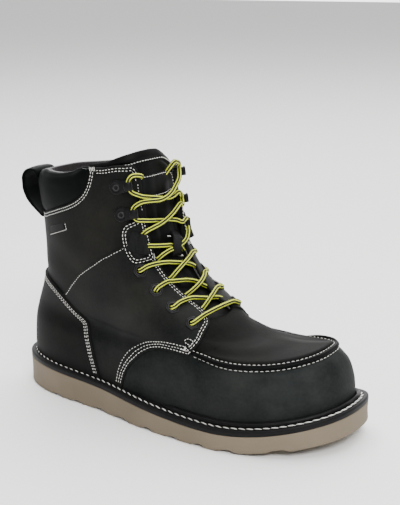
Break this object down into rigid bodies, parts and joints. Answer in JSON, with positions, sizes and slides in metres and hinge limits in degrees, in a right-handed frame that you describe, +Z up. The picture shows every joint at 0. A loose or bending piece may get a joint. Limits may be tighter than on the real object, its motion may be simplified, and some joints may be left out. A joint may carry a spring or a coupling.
{
  "type": "moc toe work boot",
  "caption": "Right-foot lace-up moc toe work boot with a six-inch shaft, padded collar, pull loop and a rippled rubber wedge sole.",
  "frame": {"origin": "centre of the bounding box on the floor the boot stands on", "axes": "+X from heel to toe, +Y to the medial (inner) side of the right foot, +Z up"},
  "size_m": [0.3092, 0.1114, 0.2142],
  "materials": {
    "sole_rubber": "matte taupe moulded rubber, fine even grain",
    "welt_rubber": "semi-gloss black, storm rib polished",
    "insole_cloth": "dark napped cloth over board",
    "upper_leather": "oiled charcoal leather, fine soft grain, satin",
    "collar_leather": "soft smooth padded leather, satin",
    "dark_metal": "blackened steel with worn grey rims",
    "webbing": "black woven webbing",
    "lace": "round braided cord, yellow with black tracers"
  },
  "bodies": {
    "root": {"outsole": "sole_rubber", "welt": "welt_rubber", "insole": "insole_cloth", "upper": "upper_leather", "heel_counter": "upper_leather", "collar": "collar_leather", "tongue": "collar_leather", "pull_loop": "collar_leather", "eyelet_lateral_1": "dark_metal", "eyelet_lateral_2": "dark_metal", "eyelet_lateral_3": "dark_metal", "eyelet_lateral_4": "dark_metal", "eyelet_medial_1": "dark_metal", "eyelet_medial_2": "dark_metal", "eyelet_medial_3": "dark_metal", "eyelet_medial_4": "dark_metal", "hook_lateral_lower": "dark_metal", "hook_lateral_upper": "dark_metal", "hook_medial_lower": "dark_metal", "hook_medial_upper": "dark_metal", "webbing_loop_lateral": "webbing", "webbing_loop_medial": "webbing", "lace_keeper": "webbing", "lace_bar": "lace", "lace_cross_1": "lace", "lace_cross_2": "lace", "lace_cross_3": "lace", "lace_cross_4": "lace", "lace_cross_5": "lace", "lace_cross_6": "lace"}
  },
  "joints": []
}
